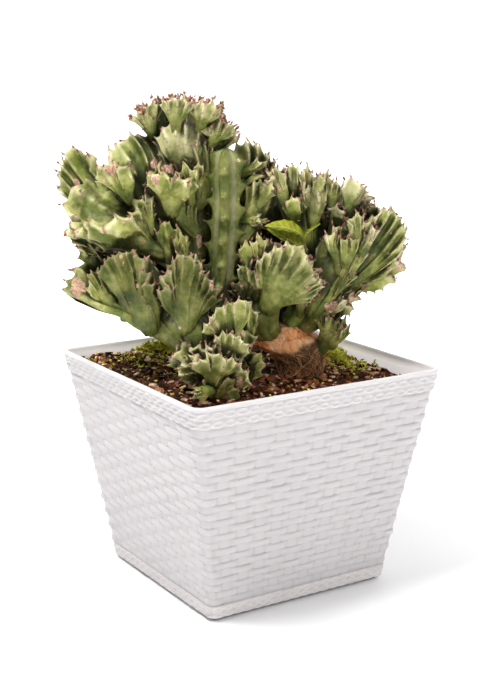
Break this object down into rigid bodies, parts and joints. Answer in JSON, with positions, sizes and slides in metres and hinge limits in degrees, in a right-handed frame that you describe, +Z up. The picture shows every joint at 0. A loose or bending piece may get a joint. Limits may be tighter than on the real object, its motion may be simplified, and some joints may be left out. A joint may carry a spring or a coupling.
{
  "type": "potted crested cactus",
  "caption": "Clump of ruffled crested cactus stems with one ribbed column, rooted in bark mix in a square tapered pot with a woven surface.",
  "frame": {"origin": "middle of the pot's flat underside, on the surface that it stands on", "axes": "+Z up, pot sides along X and Y; -Y is the side at the right of the picture, -X the side at its left"},
  "size_m": [0.2821, 0.26, 0.4439],
  "materials": {
    "pot_plastic": "satin white, woven relief",
    "bark_mix": "rough, damp bark chips",
    "moss": "soft, yellow green",
    "corky_wood": "rough tan cork with dry roots",
    "stem_skin": "waxy green with pale stripes",
    "crest_skin": "waxy green, cream edges, brown spines",
    "leaf": "thin lime green leaf"
  },
  "bodies": {
    "root": {"pot": "pot_plastic", "soil": "bark_mix", "moss_left": "moss", "moss_right": "moss", "woody_base": "corky_wood", "column_stem": "stem_skin", "left_stem": "stem_skin", "right_stem": "stem_skin", "top_crest": "crest_skin", "pale_crest": "crest_skin", "upper_left_crest": "crest_skin", "spiny_crest": "crest_skin", "inner_left_crest": "crest_skin", "far_left_crest": "crest_skin", "left_crest": "crest_skin", "left_ridge_crest": "crest_skin", "hollow_crest": "crest_skin", "lower_left_crest": "crest_skin", "lower_inner_crest": "crest_skin", "upper_middle_crest": "crest_skin", "stacked_crest": "crest_skin", "upper_right_back_crest": "crest_skin", "upper_right_front_crest": "crest_skin", "right_pale_crest": "crest_skin", "far_right_crest": "crest_skin", "mid_right_crest": "crest_skin", "centre_right_crest": "crest_skin", "rear_lobe": "crest_skin", "lower_right_crest": "crest_skin", "side_rosette": "crest_skin", "back_left_crest": "crest_skin", "back_middle_crest": "crest_skin", "back_low_left_crest": "crest_skin", "back_low_right_crest": "crest_skin", "lower_centre_crest": "crest_skin", "front_rosette_upper": "crest_skin", "front_rosette_left": "crest_skin", "front_rosette_lower": "crest_skin", "seedling_stem": "leaf", "seedling_leaf_large": "leaf", "seedling_leaf_low": "leaf", "seedling_leaf_small": "leaf"}
  },
  "joints": []
}
